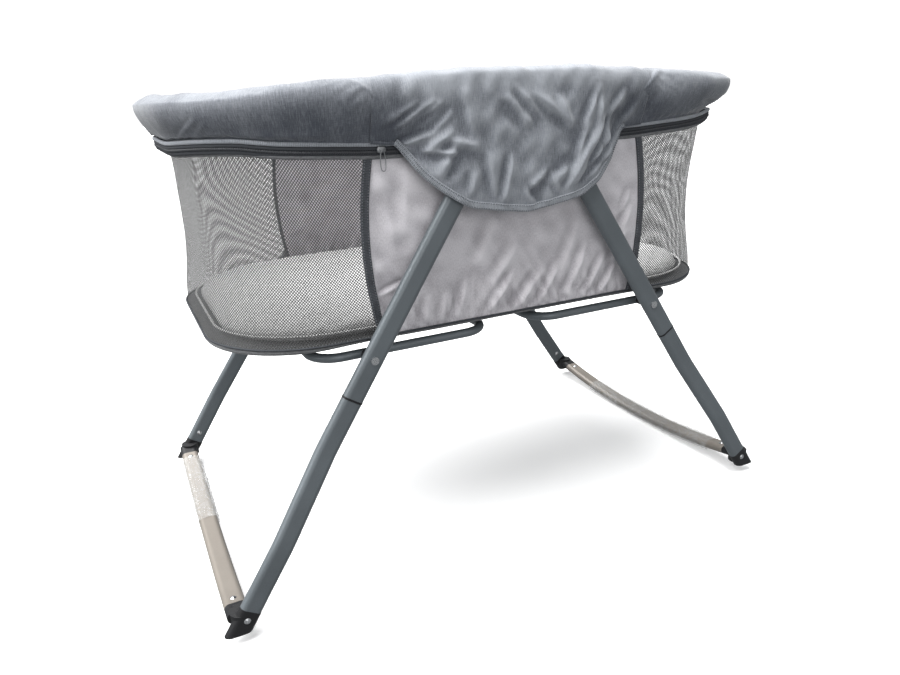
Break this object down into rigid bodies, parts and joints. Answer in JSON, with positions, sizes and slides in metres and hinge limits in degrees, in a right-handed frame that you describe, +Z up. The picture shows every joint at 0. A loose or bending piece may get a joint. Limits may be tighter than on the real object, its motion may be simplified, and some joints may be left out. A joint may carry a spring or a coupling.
{
  "type": "bassinet on stand",
  "caption": "Folding rocking bassinet: padded oval rim, mesh ends and lift-out mattress held by an A-frame of flat oval legs on curved rockers.",
  "frame": {"origin": "centre of the object's box at floor level, where the rockers' lowest line touches the floor", "axes": "+X along the long axis, -Y the front with the zip slider, +Z up"},
  "size_m": [0.943, 0.586, 0.6995],
  "materials": {
    "frame_paint": "satin",
    "black_plastic": "satin",
    "hub_plastic": "satin",
    "fastener_steel": "polished",
    "rim_fabric": "matte",
    "panel_fabric": "matte",
    "mesh_fabric": "matte",
    "mattress_fabric": "matte",
    "base_fabric": "matte",
    "zip_fabric": "matte",
    "zip_metal": "satin"
  },
  "bodies": {
    "hub": {"front_hub_inner_cover": "hub_plastic", "rear_hub_inner_cover": "hub_plastic", "front_hub_outer_cover": "hub_plastic", "rear_hub_outer_cover": "hub_plastic", "front_hub_core": "hub_plastic", "rear_hub_core": "hub_plastic", "leg_pins": "fastener_steel", "rail_pins": "fastener_steel", "front_hub_flap": "rim_fabric", "rear_hub_flap": "rim_fabric", "front_side_panel": "panel_fabric", "rear_side_panel": "panel_fabric", "left_end_mesh": "mesh_fabric", "right_end_mesh": "mesh_fabric", "zip_tape": "zip_fabric", "base_cover": "base_fabric"},
    "front_button": {"front_release_button": "black_plastic"},
    "rear_button": {"rear_release_button": "black_plastic"},
    "mattress_pad": {"mattress": "mattress_fabric"},
    "zip_runner": {"zip_slider": "zip_metal"},
    "zip_tab": {"zip_pull": "zip_metal"},
    "left_leg_frame": {"front_left_upper_leg": "frame_paint", "rear_left_upper_leg": "frame_paint", "front_left_joint_ring": "black_plastic", "rear_left_joint_ring": "black_plastic", "left_loop_screws": "fastener_steel", "left_loop_spacers": "black_plastic"},
    "left_rocker_frame": {"front_left_lower_leg": "frame_paint", "rear_left_lower_leg": "frame_paint", "front_left_foot": "black_plastic", "rear_left_foot": "black_plastic", "left_rocker": "frame_paint", "left_foot_screws": "fastener_steel"},
    "left_rail": {"left_top_rail": "frame_paint", "left_rail_end_plugs": "black_plastic", "left_rim_cover": "rim_fabric"},
    "left_loop": {"left_support_loop": "frame_paint"},
    "right_leg_frame": {"front_right_upper_leg": "frame_paint", "rear_right_upper_leg": "frame_paint", "front_right_joint_ring": "black_plastic", "rear_right_joint_ring": "black_plastic", "right_loop_screws": "fastener_steel", "right_loop_spacers": "black_plastic"},
    "right_rocker_frame": {"front_right_lower_leg": "frame_paint", "rear_right_lower_leg": "frame_paint", "front_right_foot": "black_plastic", "rear_right_foot": "black_plastic", "right_rocker": "frame_paint", "right_foot_screws": "fastener_steel"},
    "right_rail": {"right_top_rail": "frame_paint", "right_rail_end_plugs": "black_plastic", "right_rim_cover": "rim_fabric"},
    "right_loop": {"right_support_loop": "frame_paint"}
  },
  "joints": [
    {"name": "left_leg_fold", "type": "hinge", "parent": "hub", "child": "left_leg_frame", "pos_m": [-0.027, 0, 0.66], "axis": [0, -1, 0], "range_deg": [0, 28], "deforming": ["zip_slider", "zip_pull", "front_side_panel", "rear_side_panel", "left_end_mesh", "right_end_mesh", "zip_tape", "base_cover", "mattress", "left_rim_cover", "right_rim_cover"]},
    {"name": "left_rail_fold", "type": "hinge", "parent": "hub", "child": "left_rail", "pos_m": [-0.038, 0, 0.68], "axis": [0, -1, 0], "range_deg": [0, 70]},
    {"name": "left_loop_swing", "type": "hinge", "parent": "left_leg_frame", "child": "left_loop", "pos_m": [-0.23139, 0, 0.35002], "axis": [0, 1, 0], "range_deg": [0, 117.6]},
    {"name": "left_rocker_frame_pull", "type": "slide", "parent": "left_leg_frame", "child": "left_rocker_frame", "axis": [-0.5505, 0, -0.8348], "range_m": [0, 0.045]},
    {"name": "right_leg_fold", "type": "hinge", "parent": "hub", "child": "right_leg_frame", "pos_m": [0.027, 0, 0.66], "axis": [0, 1, 0], "range_deg": [0, 28]},
    {"name": "right_rail_fold", "type": "hinge", "parent": "hub", "child": "right_rail", "pos_m": [0.038, 0, 0.68], "axis": [0, 1, 0], "range_deg": [0, 70]},
    {"name": "right_loop_swing", "type": "hinge", "parent": "right_leg_frame", "child": "right_loop", "pos_m": [0.23139, 0, 0.35002], "axis": [0, -1, 0], "range_deg": [0, 117.6]},
    {"name": "right_rocker_frame_pull", "type": "slide", "parent": "right_leg_frame", "child": "right_rocker_frame", "axis": [0.5505, 0, -0.8348], "range_m": [0, 0.045]},
    {"name": "front_button_press", "type": "slide", "parent": "hub", "child": "front_button", "axis": [0, 1, 0], "range_m": [0, 0.0025], "stiffness_N_per_m": 400, "springref_m": -0.003},
    {"name": "rear_button_press", "type": "slide", "parent": "hub", "child": "rear_button", "axis": [0, -1, 0], "range_m": [0, 0.0025], "stiffness_N_per_m": 400, "springref_m": -0.003},
    {"name": "mattress_lift", "type": "slide", "parent": "hub", "child": "mattress_pad", "axis": [0, 0, 1], "range_m": [0, 0.34]},
    {"name": "zip_run", "type": "slide", "parent": "hub", "child": "zip_runner", "axis": [1, 0, 0], "range_m": [-0.08, 0]},
    {"name": "zip_tab_swing", "type": "hinge", "parent": "zip_runner", "child": "zip_tab", "pos_m": [-0.193, -0.2556, 0.6125], "axis": [-1, 0, 0], "range_deg": [0, 80]}
  ],
  "couplings": [
    {"joint": "right_leg_fold", "follows": "left_leg_fold", "ratio": 1},
    {"joint": "left_rail_fold", "follows": "left_leg_fold", "ratio": 2.5},
    {"joint": "right_rail_fold", "follows": "left_leg_fold", "ratio": 2.5},
    {"joint": "left_loop_swing", "follows": "left_leg_fold", "ratio": 4.2},
    {"joint": "right_loop_swing", "follows": "left_leg_fold", "ratio": 4.2}
  ]
}
